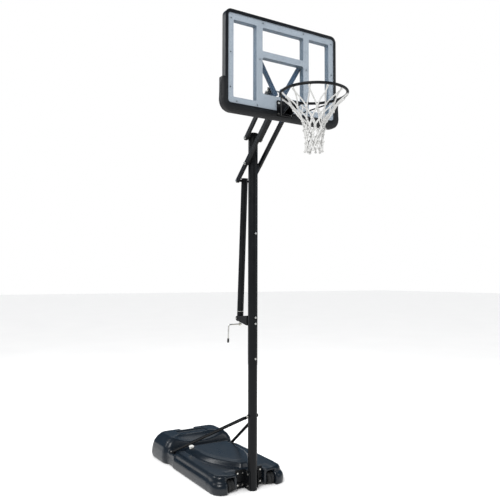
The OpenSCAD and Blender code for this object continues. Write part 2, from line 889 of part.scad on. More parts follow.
// Welded bracket behind the board: a back plate and two ears that carry the arms
module board_bracket() {
  back = bracket_y;
  ear = [[back, 6], [back + 30, -48], [board_pivot_y + 14, -48], [board_pivot_y + 24, -36],
    [board_pivot_y + 24, board_high_z - face_low + 8], [board_pivot_y + 8, board_high_z - face_low + 24],
    [board_pivot_y - 20, board_high_z - face_low + 24], [back + 18, 98], [back, 84]];
  color(STEEL_BLUE) difference() {
    union() {
      translate([-62, back, face_low + 4]) cube([124, 4, 118]);
      for (side = [-1, 1]) side_plate(side > 0 ? 44 : -48, side > 0 ? 48 : -44) {
        translate([0, face_low]) polygon(ear);
      }
    }
    for (z = [board_low_z, board_high_z]) along_x(-90, 90, board_pivot_y, z, pivot_d + 2 * loose);
    for (x = [-56, 56], z = [26, 86]) along_y(back - 1, back + 5, x, face_low + z, 8 + 2 * loose);
  }
}

module board_bracket_bolts() {
  back = bracket_y;
  color(ZINC) for (x = [-56, 56], z = [26, 86]) {
    along_y(back, back + 4, x, face_low + z, 8);
    hex_y(back + 4, back + 9, x, face_low + z, 12);
  }
}

module board_pivot_bolts() {
  color(ZINC) for (z = [board_low_z, board_high_z]) pivot_bolt(board_pivot_y, z);
}

// Spacers between the ears and the arms
module board_spacers() {
  color(BLACK) difference() {
    for (side = [-1, 1], z = [board_low_z, board_high_z]) {
      along_x(side > 0 ? 48 : -arm_in + arm_side_gap, side > 0 ? arm_in - arm_side_gap : -48,
        board_pivot_y, z, sleeve_d);
    }
    for (z = [board_low_z, board_high_z]) along_x(-90, 90, board_pivot_y, z, pivot_d + 2 * loose);
  }
}

// Channel strut from the bracket up to the back of the frame
module v_brace(side) {
  back = bracket_y;
  a = [side * 30, face_low + 134];
  b = [side * 205, face_low + 424];
  turn = atan2(b[1] - a[1], b[0] - a[0]);
  run = norm(b - a);
  color(STEEL_BLUE) difference() {
    board_sheet(back, back + 14) translate(a) rotate(turn) translate([0, -18]) square([run + 12, 36]);
    board_sheet(back + 3, back + 15) translate(a) rotate(turn) translate([-1, -15]) square([run + 14, 30]);
    board_sheet(back - 1, back + 16) translate([side > 0 ? -100 : 0, face_low]) square([100, 400]);
  }
}

// ---------- Rim and net ----------

module rim_plate() {
  color(BLACK) difference() {
    union() {
      board_sheet(rim_plate_front, rim_plate_back) {
        round_rect(-plate_hw, plate_low, plate_hw, plate_high, 8);
      }
      board_sheet(rim_plate_back, sheet_front - gap) {
        round_rect(-plate_hw + 6, face_low + 4, plate_hw - 6, plate_high - 4, 6);
      }
    }
    for (x = [-54, 54], z = [14, 100]) {
      along_y(rim_plate_front - 1, rim_plate_back + 1, x, plate_low + z, 10 + 2 * loose);
    }
  }
}

module rim_bolts() {
  color(ZINC) for (x = [-54, 54], z = [14, 100]) {
    along_y(rim_plate_front, rim_plate_back, x, plate_low + z, 10);
    hex_y(rim_plate_front - 6, rim_plate_front, x, plate_low + z, 16);
  }
}

// Box neck between the plate and the rim: a top plate and two gussets
module rim_neck() {
  end = rim_y + rim_r - rim_rod / 2 - 4;
  top = rim_z - rim_rod / 2 + 2;
  color(BLACK) difference() {
    union() {
      translate([-neck_hw, end, top - neck_t]) cube([2 * neck_hw, rim_plate_front - end, neck_t]);
      for (side = [-1, 1]) {
        x0 = side > 0 ? neck_hw - neck_t : -neck_hw;
        side_plate(x0, x0 + neck_t) polygon([
          [rim_plate_front, plate_low + 8], [rim_plate_front, top], [end, top], [end, top - 14],
          [rim_plate_front - 40, plate_low + 8]
        ]);
      }
      translate([-neck_hw, rim_plate_front - 40, plate_low + 8]) cube([2 * neck_hw, 40, neck_t]);
    }
    translate([0, rim_y, rim_z]) rotate_extrude($fn = 96) {
      translate([rim_r, 0]) circle(d = rim_rod + 0.2, $fn = 32);
    }
  }
}

module rim_ring() {
  color(BLACK) translate([0, rim_y, rim_z]) rotate_extrude($fn = 128) {
    translate([rim_r, 0]) circle(d = rim_rod, $fn = 32);
  }
}

// Rod that props the rim: from each side of the rim back to the foot of the neck
module rim_brace() {
  side_a = 24;
  z_low = plate_low + 7.5 - brace_rod / 2 - 1;
  high_z = rim_z - rim_rod / 2 - brace_rod / 2 - 2 * gap;
  low_y = rim_plate_front - 24;
  color(BLACK) {
    for (side = [-1, 1]) {
      p = [side * rim_r * cos(side_a), rim_y + rim_r * sin(side_a), high_z];
      q = [side * 46, low_y, z_low];
      rod(q, p, brace_rod);
    }
    along_x(-54, 54, low_y, z_low, brace_rod + 2);
  }
}

// Wire loops welded under the rim that hold the net
module net_hooks() {
  color(BLACK) translate([0, rim_y, rim_z]) difference() {
    for (i = [0:hooks - 1]) rotate(360 / hooks * (i + 0.5)) {
      translate([rim_r, 0, -rim_rod / 2 + 1]) rotate([90, 0, 90]) rotate([0, 0, 180]) {
        rotate_extrude(angle = 180, $fn = 32) translate([hook_r, 0]) circle(d = hook_wire, $fn = 16);
      }
    }
    rotate_extrude($fn = 128) translate([rim_r, 0]) circle(d = rim_rod + 0.1, $fn = 32);
  }
}

// Net as one closed funnel, open at the top and the bottom
module net() {
  top_z = rim_z - rim_rod / 2 - 14;
  points = [[rim_r - 13, top_z], [158, top_z - 110], [102, top_z - 185], [86, top_z - 260],
    [75, top_z - 340], [76, rim_z - net_len]];
  color(WHITE) translate([0, rim_y, 0]) rotate_extrude($fn = 72) polygon(concat(
    points,
    [for (i = [len(points) - 1:-1:0]) [points[i][0] - net_wall, points[i][1]]]
  ));
}

base_tank();
ballast();
fill_cap();
axle();
wheel(-1);  // wheel_left
wheel(1);  // wheel_right
foot_bracket(-1);  // foot_bracket_left
foot_bracket(1);  // foot_bracket_right
foot_bolts();
flange_bolts();
pole_foot();
pole_lower();
pole_middle();
pole_upper();
pole_cap();
pole_joint_bolts();
brace(-1);  // brace_left
brace(1);  // brace_right
brace_bolts();
jack_bracket();
jack_bracket_bolts();
jack_pivot_pins();
jack_housing();
jack_inner_tube();
jack_outer_tube();
jack_nut();
jack_cap();
jack_screw();
crank_rod();
crank_tip();
lift_arm(-1, arm_high_z, 0);  // upper_arm_left
lift_arm(1, arm_high_z, 0);  // upper_arm_right
lift_arm(-1, arm_low_z, arm_tail);  // lower_arm_left
lift_arm(1, arm_low_z, arm_tail);  // lower_arm_right
arm_sleeves();
arm_pivot_bolts();
jack_top_pins();
jack_pin_sleeves();
board_bracket();
board_pivot_bolts();
board_spacers();
board_bracket_bolts();
v_brace(-1);  // v_brace_left
v_brace(1);  // v_brace_right
rib_frame();
clear_sheet();
edge_trim();
face_screws();
edge_pad();
rim_plate();
rim_neck();
rim_bolts();
rim_ring();
rim_brace();
net_hooks();
net();
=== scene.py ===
import json
from contextlib import contextmanager
from math import cos, pi, radians, sin

import bpy
from mathutils import Matrix, Vector


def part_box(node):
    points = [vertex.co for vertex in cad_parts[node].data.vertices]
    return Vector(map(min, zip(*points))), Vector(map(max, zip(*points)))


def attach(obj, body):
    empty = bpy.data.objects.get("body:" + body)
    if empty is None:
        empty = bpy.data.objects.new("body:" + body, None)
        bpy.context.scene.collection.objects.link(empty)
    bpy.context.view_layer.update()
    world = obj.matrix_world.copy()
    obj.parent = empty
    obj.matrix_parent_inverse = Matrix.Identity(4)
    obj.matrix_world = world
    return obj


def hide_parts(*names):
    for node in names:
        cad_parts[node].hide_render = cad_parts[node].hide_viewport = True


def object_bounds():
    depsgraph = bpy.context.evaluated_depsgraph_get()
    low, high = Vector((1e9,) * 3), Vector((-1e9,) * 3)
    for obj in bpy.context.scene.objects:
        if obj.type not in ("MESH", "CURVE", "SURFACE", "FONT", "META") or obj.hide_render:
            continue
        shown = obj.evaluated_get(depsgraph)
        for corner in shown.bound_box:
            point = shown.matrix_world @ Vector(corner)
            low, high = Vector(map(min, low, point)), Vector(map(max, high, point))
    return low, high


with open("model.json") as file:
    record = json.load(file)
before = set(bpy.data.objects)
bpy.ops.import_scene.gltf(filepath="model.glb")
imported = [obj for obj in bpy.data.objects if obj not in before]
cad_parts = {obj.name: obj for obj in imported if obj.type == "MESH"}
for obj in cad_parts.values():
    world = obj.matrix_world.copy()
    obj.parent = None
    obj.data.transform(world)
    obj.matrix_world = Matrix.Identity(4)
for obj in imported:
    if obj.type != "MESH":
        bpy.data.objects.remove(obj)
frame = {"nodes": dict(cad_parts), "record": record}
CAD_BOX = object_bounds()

bl_info = {
    "name": "Portable basketball hoop",
    "version": (1, 0, 0),
    "blender": (4, 5, 0),
    "location": "3D View > Sidebar > Hoop",
    "description": "Adds the tank, wheels, pad, net, finishes, floor, light and camera of a hoop",
    "category": "Object",
}


# ---------- Sizes and colours a user would change ----------

def length(name, description, default):
    """A property for a length in metres."""
    return bpy.props.FloatProperty(name=name, description=description, default=default,
                                   min=0, precision=4, unit="LENGTH")


def colour(name, description, default):
    """A property for a linear colour."""
    return bpy.props.FloatVectorProperty(name=name, description=description, default=default,
                                         subtype="COLOR", size=3, min=0, max=1)


def box_mid(node):
    """Middle of a CAD node's box."""
    low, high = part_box(node)
    return (Vector(low) + Vector(high)) / 2


def box_size(node):
    """Size of a CAD node's box."""
    low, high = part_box(node)
    return Vector(high) - Vector(low)


class HoopTankSizes(bpy.types.PropertyGroup):
    """Sizes of the blow-moulded tank."""
    lower_top: length("Lower tier", "Height of the lower tier's top", 0.095)
    deck: length("Deck", "Height of the flat deck round the dome", 0.141)
    step: length("Dome step", "Height of the dome's lower step", 0.163)
    dome: length("Dome", "Height of the dome's top", 0.185)
    dome_front: length("Dome front", "Where the dome's pointed front end starts", 0.120)
    dome_rear: length("Dome rear", "Where the dome ends at the groove", 0.800)
    dome_half: length("Dome half width", "Half of the dome's greatest width", 0.226)
    grain: length("Mesh grain", "Voxel size that blends the tiers", 0.0065)


class HoopWheelSizes(bpy.types.PropertyGroup):
    """Sizes of the transport wheels."""
    lug_height: length("Lug height", "How far the tread's lugs stand out", 0.0035)
    lugs: bpy.props.IntProperty(name="Lugs", description="Number of lugs in a row", default=18, min=6)


class HoopPadSizes(bpy.types.PropertyGroup):
    """Sizes of the soft edge pad."""
    skin: length("Starting inset", "How much smaller the pad starts before it swells", 0.004)
    swell: length("Swell limit", "The most that a point may move as the pad swells", 0.006)
    grain: length("Mesh grain", "Voxel size of the pad", 0.006)


class HoopNetSizes(bpy.types.PropertyGroup):
    """Sizes of the knotted net."""
    cord: length("Cord diameter", "Thickness of the net's cord", 0.0105)
    knot: length("Knot diameter", "Thickness of a knot", 0.0175)
    rows: bpy.props.IntProperty(name="Rows", description="Rows of knots below the hooks", default=6, min=3)


class HoopStageSizes(bpy.types.PropertyGroup):
    """Where the camera stands and how bright the studio is."""
    camera_place: bpy.props.FloatVectorProperty(
        name="Camera place", description="Where the camera stands",
        default=(-2.524, -4.091, 1.713), subtype="TRANSLATION", size=3)
    camera_turn: bpy.props.FloatProperty(name="Camera turn", description="Turn about the vertical",
                                         default=radians(-31.392), subtype="ANGLE")
    camera_tilt: bpy.props.FloatProperty(name="Camera tilt", description="Tilt above the horizon",
                                         default=radians(2.829), subtype="ANGLE")
    camera_roll: bpy.props.FloatProperty(name="Camera roll", description="Roll about the view's axis",
                                         default=radians(0.117), subtype="ANGLE")
    lens: bpy.props.FloatProperty(name="Lens", description="Focal length in millimetres", default=41.76)
    sky: colour("Sky", "Colour of the light all round", (1.0, 1.0, 1.0))
    mirrored_sky: colour("Mirrored sky", "Colour that shiny finishes mirror", (0.07, 0.13, 0.2))


class HoopColours(bpy.types.PropertyGroup):
    """Colours of the finishes, linear."""
    powder: colour("Powder coat", "Pole, arms, rim and brackets", (0.0038, 0.0042, 0.0050))
    # Near-black plastic, with a blue tint that is painted reflection of the sky.
    tank: colour("Tank plastic", "Blow-moulded tank", (0.0048, 0.0076, 0.0115))
    face: colour("Face plastic", "Moulded backboard frame", (0.232, 0.270, 0.312))
    # The rib walls' colour is bluish plastic, darkened further as painted shade inside the window reveals.
    ribs: colour("Rib plastic", "Side walls of the backboard frame's ribs", (0.045, 0.075, 0.110))
    trim: colour("Trim plastic", "Edge trim and caps", (0.0060, 0.0066, 0.0080))
    pad: colour("Pad foam", "Soft edge pad", (0.0055, 0.0060, 0.0068))
    zinc: colour("Zinc plate", "Bolts, crank and screw", (0.62, 0.61, 0.58))
    strut: colour("Strut paint", "Struts behind the board", (0.022, 0.048, 0.088))
    # The cord's white is set to a mid grey as painted shade over the whole net.
    cord: colour("Net cord", "Braided net cord", (0.52, 0.52, 0.51))
    wheel: colour("Wheel plastic", "Transport wheels", (0.016, 0.0165, 0.017))
    cap: colour("Filler cap", "Cap of the tank's filler", (0.78, 0.78, 0.75))
    water: colour("Water", "Ballast in the tank", (0.35, 0.5, 0.6))


# ---------- Shader building ----------

MIX_SHARE, MIX_FIRST, MIX_SECOND, MIX_RESULT = 0, 6, 7, 2    # a Mix node's sockets when it mixes colours


class Wire:
    """A node's output that Python arithmetic can be done on."""

    def __init__(self, shader, socket):
        self.shader = shader
        self.socket = socket

    def maths(self, operation, *values):
        """Adds a Math node fed by the values."""
        return self.shader.node("ShaderNodeMath", {"operation": operation}, dict(enumerate(values)))

    def __add__(self, other):
        return self.maths("ADD", self, other)

    def __sub__(self, other):
        return self.maths("SUBTRACT", self, other)

    def __rsub__(self, other):
        return self.maths("SUBTRACT", other, self)

    def __mul__(self, other):
        return self.maths("MULTIPLY", self, other)

    __radd__ = __add__
    __rmul__ = __mul__


class Finish:
    """One material with a Principled shader, and the nodes that feed it."""

    def __init__(self, name, roughness, metallic=0.0, specular=0.5, alpha=1.0):
        self.material = bpy.data.materials.new(name)
        self.material.use_nodes = True
        self.tree = self.material.node_tree
        self.shader = self.tree.nodes["Principled BSDF"]
        self.shader.inputs["Metallic"].default_value = metallic
        self.shader.inputs["Roughness"].default_value = roughness
        self.shader.inputs["Specular IOR Level"].default_value = specular
        self.shader.inputs["Alpha"].default_value = alpha
        self.place = self.node("ShaderNodeTexCoord", output="Object")

    def node(self, kind, settings=None, sockets=None, output=0):
        """Adds a node, with its settings first and then its sockets' values or links."""
        made = self.tree.nodes.new(kind)
        for key, value in (settings or {}).items():
            setattr(made, key, value)
        for key, value in (sockets or {}).items():
            self.feed(made.inputs[key], value)
        return Wire(self, made.outputs[output])

    def feed(self, socket, value):
        """Links a wire to a socket, or sets the socket's value."""
        if isinstance(value, Wire):
            self.tree.links.new(value.socket, socket)
        else:
            socket.default_value = value

    def stretched(self, x, y, z):
        """The object's coordinates, scaled on each axis."""
        return self.node("ShaderNodeMapping", {}, {"Vector": self.place, "Scale": (x, y, z)})

    def noise(self, scale, detail=3.0, rough=0.55, where=None):
        """Noise from 0 to 1, with scale in lumps per metre."""
        return self.node("ShaderNodeTexNoise", {}, {
            "Vector": where or self.place, "Scale": scale, "Detail": detail, "Roughness": rough})

    def cells(self, scale, where=None):
        """Distance to the nearest cell centre."""
        return self.node("ShaderNodeTexVoronoi", {}, {"Vector": where or self.place, "Scale": scale})

    def between(self, value, low, high, start=0.0, end=1.0):
        """Maps a wire from low..high to start..end."""
        return self.node("ShaderNodeMapRange", {}, {
            "Value": value, "From Min": low, "From Max": high, "To Min": start, "To Max": end})

    def blend(self, share, first, second):
        """Mixes two colours by a share from 0 to 1."""
        made = self.tree.nodes.new("ShaderNodeMix")
        made.data_type = "RGBA"
        self.feed(made.inputs[MIX_SHARE], share)
        for socket, value in ((made.inputs[MIX_FIRST], first), (made.inputs[MIX_SECOND], second)):
            self.feed(socket, value if isinstance(value, Wire) else (*value, 1.0))
        return Wire(self, made.outputs[MIX_RESULT])

    def bump(self, height, strength, distance):
        """Roughens the surface's normal by a height."""
        self.feed(self.shader.inputs["Normal"], self.node("ShaderNodeBump", {}, {
            "Height": height, "Strength": strength, "Distance": distance}))

    def paint(self, colour_wire=None, roughness=None):
        """Feeds the shader's colour and roughness."""
        if colour_wire is not None:
            self.feed(self.shader.inputs["Base Color"], colour_wire)
        if roughness is not None:
            self.feed(self.shader.inputs["Roughness"], roughness)
        return self.material


def tinted(rgb, factor):
    """A colour made lighter or darker."""
    return tuple(min(1.0, channel * factor) for channel in rgb)


def make_powder(name, rgb, roughness=0.38):
    """Powder-coated steel: fine orange peel, with faint dust and soft rubbed patches."""
    finish = Finish(name, roughness, specular=0.16)
    rubbed = finish.noise(6.0, 4.0)
    dust = finish.noise(38.0, 5.0, 0.65)
    base = finish.blend(finish.between(rubbed, 0.35, 0.7), tinted(rgb, 0.8), tinted(rgb, 1.25))
    base = finish.blend(finish.between(dust, 0.64, 0.82, 0.0, 0.1), base, tinted(rgb, 5.0))
    finish.bump(finish.noise(520.0, 2.0) + 0.4 * finish.noise(1400.0, 1.0), 0.32, 0.0006)
    wear = rubbed + 0.5 * dust
    return finish.paint(base, finish.between(wear, 0.4, 1.1, roughness - 0.07, roughness + 0.12))


def make_tank(name, rgb):
    """Blow-moulded polyethylene: fine grain, soft waviness, a parting line and scuffs."""
    finish = Finish(name, 0.3, specular=0.38)
    drift = finish.noise(2.6, 3.0)
    scuff = finish.noise(16.0, 6.0, 0.7, finish.stretched(1.0, 0.35, 1.6))
    base = finish.blend(finish.between(drift, 0.3, 0.7), tinted(rgb, 0.78), tinted(rgb, 1.3))
    base = finish.blend(finish.between(scuff, 0.64, 0.8, 0.0, 0.16), base, tinted(rgb, 3.0))
    height = finish.node("ShaderNodeSeparateXYZ", {}, {"Vector": finish.place}, 2)
    line_height, line_half = 0.058, 0.0012
    parting = finish.node("ShaderNodeMath", {"operation": "COMPARE"},
                          {0: height, 1: line_height, 2: line_half})
    grain = 0.5 * finish.noise(900.0, 2.0) + 0.35 * finish.noise(70.0, 2.0)
    finish.bump(grain + parting, 0.2, 0.0007)
    return finish.paint(base, finish.between(scuff + 0.4 * drift, 0.4, 1.0, 0.22, 0.38))


def make_plastic(name, rgb, roughness=0.5, grain=700.0, spread=0.12):
    """Moulded plastic: stippled surface with faint flow marks."""
    finish = Finish(name, roughness, specular=0.2)
    flow = finish.noise(7.0, 4.0, 0.6, finish.stretched(1.0, 1.0, 0.4))
    fine = finish.noise(240.0, 3.0)
    base = finish.blend(finish.between(flow, 0.3, 0.7), tinted(rgb, 1 - spread), tinted(rgb, 1 + spread))
    base = finish.blend(finish.between(fine, 0.3, 0.75, 0.0, 0.3), base, tinted(rgb, 0.86))
    finish.bump(finish.cells(grain) + 0.5 * finish.noise(grain, 2.0), 0.22, 0.0005)
    return finish.paint(base, finish.between(flow + 0.5 * fine, 0.4, 1.1, roughness - 0.06, roughness + 0.1))


def make_ribs(name, rgb, ribs, front):
    """Moulded frame: a light face about a millimetre deep, and darker bluish plastic behind it, darkened
    further as painted shade on the window reveals' walls.
    """
    finish = Finish(name, 0.45, specular=0.35)
    flow = finish.noise(7.0, 4.0, 0.6, finish.stretched(1.0, 1.0, 0.4))
    fine = finish.noise(240.0, 3.0)
    depth = finish.node("ShaderNodeSeparateXYZ", {}, {"Vector": finish.place}, 1)
    face = finish.blend(finish.between(flow, 0.3, 0.7), tinted(rgb, 0.96), tinted(rgb, 1.04))
    face = finish.blend(finish.between(fine, 0.3, 0.75, 0.0, 0.2), face, tinted(rgb, 0.94))
    # The side walls' colour: bluish plastic, darkened further as painted shade inside the window reveals.
    side = finish.blend(finish.between(flow, 0.3, 0.7), tinted(ribs, 0.8), tinted(ribs, 1.2))
    # Depth behind the face over which the colour turns to the walls' painted shade.
    reveal_shade_start, reveal_shade_end = 0.0008, 0.0014
    share = finish.between(depth, front + reveal_shade_start, front + reveal_shade_end)
    finish.bump(finish.cells(620.0) + 0.5 * finish.noise(620.0, 2.0), 0.1, 0.0004)
    base = finish.blend(share, face, side)
    return finish.paint(base, finish.between(flow + 0.5 * fine, 0.4, 1.1, 0.42, 0.56))


def make_foam(name, rgb):
    """Skinned foam: leathery creases under a fine grain."""
    finish = Finish(name, 0.42, specular=0.26)
    creases = finish.cells(190.0)
    soft = finish.noise(9.0, 4.0)
    base = finish.blend(finish.between(soft, 0.3, 0.7), tinted(rgb, 0.8), tinted(rgb, 1.3))
    base = finish.blend(finish.between(creases, 0.2, 0.8, 0.0, 0.25), base, tinted(rgb, 1.9))
    finish.bump(creases + 0.3 * finish.noise(800.0, 2.0), 0.35, 0.0008)
    return finish.paint(base, finish.between(soft, 0.3, 0.7, 0.5, 0.66))


def make_zinc(name, rgb):
    """Zinc plate: mottled spangle with a faint yellow and blue cast."""
    finish = Finish(name, 0.32, metallic=1.0)
    spangle = finish.cells(340.0)
    cast = finish.noise(55.0, 3.0)
    base = finish.blend(finish.between(cast, 0.3, 0.7), (rgb[0], rgb[1] * 0.97, rgb[2] * 0.9),
                        (rgb[0] * 0.93, rgb[1] * 0.96, rgb[2]))
    base = finish.blend(finish.between(spangle, 0.1, 0.9, 0.0, 0.3), base, tinted(rgb, 0.7))
    finish.bump(finish.noise(600.0, 2.0), 0.12, 0.0003)
    return finish.paint(base, finish.between(spangle + 0.5 * cast, 0.2, 1.2, 0.24, 0.42))


def make_clear(name):
    """Clear acrylic sheet: see-through, with a little haze and fine scratches."""
    finish = Finish(name, 0.06, specular=0.5, alpha=0.02)
    haze = finish.noise(9.0, 3.0)
    scratch = finish.noise(60.0, 4.0, 0.6, finish.stretched(0.15, 1.0, 3.0))
    finish.feed(finish.shader.inputs["Alpha"], finish.between(haze + 0.4 * scratch, 0.3, 1.1, 0.006, 0.024))
    return finish.paint(finish.blend(haze, (0.55, 0.66, 0.74), (0.66, 0.75, 0.8)),
                        finish.between(scratch, 0.4, 0.8, 0.04, 0.12))


def make_cord(name, rgb):
    """Braided cord: small crossing bulges with painted shade in the grooves between them, over a soft, slightly
    soiled white.
    """
    finish = Finish(name, 0.78, specular=0.25)
    braid = finish.cells(330.0, finish.stretched(1.0, 1.0, 0.6))
    soil = finish.noise(24.0, 4.0)
    base = finish.blend(finish.between(soil, 0.35, 0.75), tinted(rgb, 1.1), tinted(rgb, 0.8))
    # Painted shade: darker in the grooves between the braid's bulges, where the bump sinks.
    base = finish.blend(finish.between(braid, 0.35, 0.9, 0.0, 0.45), base, tinted(rgb, 0.55))
    finish.bump(1 - braid, 0.5, 0.0012)
    return finish.paint(base, finish.between(soil, 0.3, 0.7, 0.7, 0.85))


def make_floor(name):
    """Smooth pale studio floor."""
    finish = Finish(name, 0.7, specular=0.05)
    cloud = finish.noise(0.8, 2.0)
    return finish.paint(finish.blend(cloud, (0.94, 0.94, 0.94), (0.97, 0.97, 0.97)),
                        finish.between(cloud, 0.3, 0.7, 0.66, 0.76))


def make_finishes(colours):
    """All materials, by the record's slot names."""
    return {
        "black_steel": make_powder("black powder coat", colours.powder),
        "tank_plastic": make_tank("tank plastic", colours.tank),
        "grey_plastic": make_ribs("grey face plastic", colours.face, colours.ribs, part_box("rib_frame")[0][1]),
        "clear_plastic": make_clear("clear sheet"),
        "black_plastic": make_plastic("black trim plastic", colours.trim, 0.32, 800.0, 0.2),
        "pad_foam": make_foam("pad foam", colours.pad),
        "zinc_steel": make_zinc("zinc plate", colours.zinc),
        "blue_steel": make_powder("strut paint", colours.strut, 0.44),
        "white_plastic": make_plastic("filler cap plastic", colours.cap, 0.35, 900.0, 0.04),
        "wheel_plastic": make_plastic("wheel plastic", colours.wheel, 0.52, 500.0, 0.2),
        "net_cord": make_cord("net cord", colours.cord),
        "fill_water": make_plastic("ballast water", colours.water, 0.2, 60.0, 0.05),
    }


def finish_for(slot):
    """The material made for a slot."""
    return bpy.data.materials[SLOT_FINISHES[slot]]


SLOT_FINISHES = {}


# ---------- Modelling tools ----------

def only(*objects):
    """Selects these objects alone and makes the first one active."""
    bpy.ops.object.select_all(action="DESELECT")
    for item in objects:
        item.select_set(True)
    bpy.context.view_layer.objects.active = objects[0]


@contextmanager
def editing(item, mode="FACE"):
    """Edit mode on one object, with nothing selected in its mesh."""
    only(item)
    bpy.ops.object.mode_set(mode="EDIT")
    bpy.ops.mesh.select_mode(type=mode)
    bpy.ops.mesh.select_all(action="DESELECT")
    bpy.ops.object.mode_set(mode="OBJECT")
    yield
    bpy.ops.object.mode_set(mode="OBJECT")


def edit():
    """Enters edit mode, with the selection that was made in code."""
    bpy.ops.object.mode_set(mode="EDIT")


def settle(item, name=None):
    """Puts the object at the origin with its place in its mesh."""
    only(item)
    bpy.ops.object.transform_apply(location=True, rotation=True, scale=True)
    if name:
        item.name = name
        item.data.name = name
    return item


def modify(item, kind, **settings):
    """Adds a modifier, sets it and applies it."""
    only(item)
    bpy.ops.object.modifier_add(type=kind)
    made = item.modifiers[-1]
    for key, value in settings.items():
        setattr(made, key, value)
    bpy.ops.object.modifier_apply(modifier=made.name)


def joined(items, name):
    """Joins objects into one."""
    only(*items)
    if len(items) > 1:
        bpy.ops.object.join()
    whole = items[0]
    whole.name = name
    whole.data.name = name
    return whole


def outward(item):
    """Merges doubles and points the faces outwards."""
    only(item)
    edit()
    bpy.ops.mesh.select_all(action="SELECT")
    bpy.ops.mesh.remove_doubles(threshold=0.00001)
    bpy.ops.mesh.normals_make_consistent(inside=False)
    bpy.ops.object.mode_set(mode="OBJECT")


def block(low, high, name="block", bevel=0.0, segments=3):
    """A box between two corners, with bevelled edges."""
    low, high = Vector(low), Vector(high)
    bpy.ops.object.select_all(action="DESELECT")
    bpy.ops.mesh.primitive_cube_add(size=1, location=(low + high) / 2)
    item = bpy.context.object
    item.scale = high - low
    settle(item, name)
    if bevel:
        modify(item, "BEVEL", width=bevel, segments=segments, limit_method="NONE")
    return item


def stacked(outline, levels, name="stack"):
    """A solid whose outline is extruded level by level: each level is a height and two scales."""
    count = len(outline)
    bpy.ops.object.select_all(action="DESELECT")
    bpy.ops.mesh.primitive_circle_add(vertices=count, radius=1, fill_type="NGON")
    item = bpy.context.object
    height, scale_x, scale_y = levels[0]
    mid_y = (min(y for x, y in outline) + max(y for x, y in outline)) / 2
    for vertex, (x, y) in zip(item.data.vertices, outline):
        vertex.co = (x * scale_x, mid_y + (y - mid_y) * scale_y, height)
    edit()
    bpy.ops.mesh.select_mode(type="FACE")
    bpy.ops.mesh.select_all(action="SELECT")
    for (z0, x0, y0), (z1, x1, y1) in zip(levels, levels[1:]):
        bpy.ops.mesh.extrude_region_move(TRANSFORM_OT_translate={"value": (0, 0, z1 - z0)})
        bpy.ops.transform.resize(value=(x1 / x0, y1 / y0, 1), center_override=(0, mid_y, z1))
    bpy.ops.object.mode_set(mode="OBJECT")
    outward(item)
    item.name = name
    return item


def round_outline(x0, y0, x1, y1, radii, steps=7):
    """Points round a rectangle with round corners: one radius, or four from the +X +Y corner on."""
    radii = radii if isinstance(radii, tuple) else (radii,) * 4
    points = []
    corners = ((x1, y1, 1, 1), (x0, y1, -1, 1), (x0, y0, -1, -1), (x1, y0, 1, -1))
    for number, (x, y, sx, sy) in enumerate(corners):
        radius = radii[number]
        for step in range(steps + 1):
            angle = radians(90 * number + 90 * step / steps)
            points.append((x - sx * radius + radius * cos(angle), y - sy * radius + radius * sin(angle)))
    return points


def egg(name, centre, radii):
    """An egg-shaped solid for hollowing out a soft dip."""
    bpy.ops.object.select_all(action="DESELECT")
    bpy.ops.mesh.primitive_uv_sphere_add(segments=48, ring_count=24, radius=1, location=centre)
    item = bpy.context.object
    item.scale = radii
    return settle(item, name)


def carve(item, *cutters):
    """Cuts the cutters out of the item and removes them."""
    for cutter in cutters:
        modify(item, "BOOLEAN", operation="DIFFERENCE", solver="EXACT", object=cutter)
        bpy.data.objects.remove(cutter, do_unlink=True)


def smooth(item, angle=40):
    """Smooth shading that keeps edges sharper than an angle."""
    only(item)
    bpy.ops.object.shade_smooth_by_angle(angle=radians(angle))


def dress(item, slot, body):
    """Gives a piece its finish and its body."""
    item.data.materials.clear()
    item.data.materials.append(finish_for(slot))
    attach(item, body)
    return item


def wire_rods(paths, radius, name, sides=8):
    """Round cords along paths of points, as one mesh."""
    curve = bpy.data.curves.new(name, "CURVE")
    curve.dimensions = "3D"
    curve.bevel_depth = radius
    curve.bevel_resolution = max(0, (sides - 4) // 2)
    curve.use_fill_caps = True
    for path in paths:
        spline = curve.splines.new("POLY")
        spline.points.add(len(path) - 1)
        for point, place in zip(spline.points, path):
            point.co = (*place, 1)
    item = bpy.data.objects.new(name, curve)
    bpy.context.collection.objects.link(item)
    only(item)
    bpy.ops.object.convert(target="MESH")
    item = bpy.context.object
    item.name = name
    only(item)
    bpy.ops.object.shade_smooth()
    return item


# ---------- Operators ----------

class HOOP_OT_finishes(bpy.types.Operator):
    """Make every finish and put it on the CAD nodes"""
    bl_idname = "hoop.finishes"
    bl_label = "Finishes"

    def execute(self, context):
        for slot, material in make_finishes(context.scene.hoop_colours).items():
            SLOT_FINISHES[slot] = material.name
        for subpart in frame["record"]["subparts"]:
            node = frame["nodes"][subpart["node"]]
            if not node.material_slots:
                node.data.materials.append(None)
            for slot in node.material_slots:
                slot.material = finish_for(subpart["material_slot"])
        return {"FINISHED"}


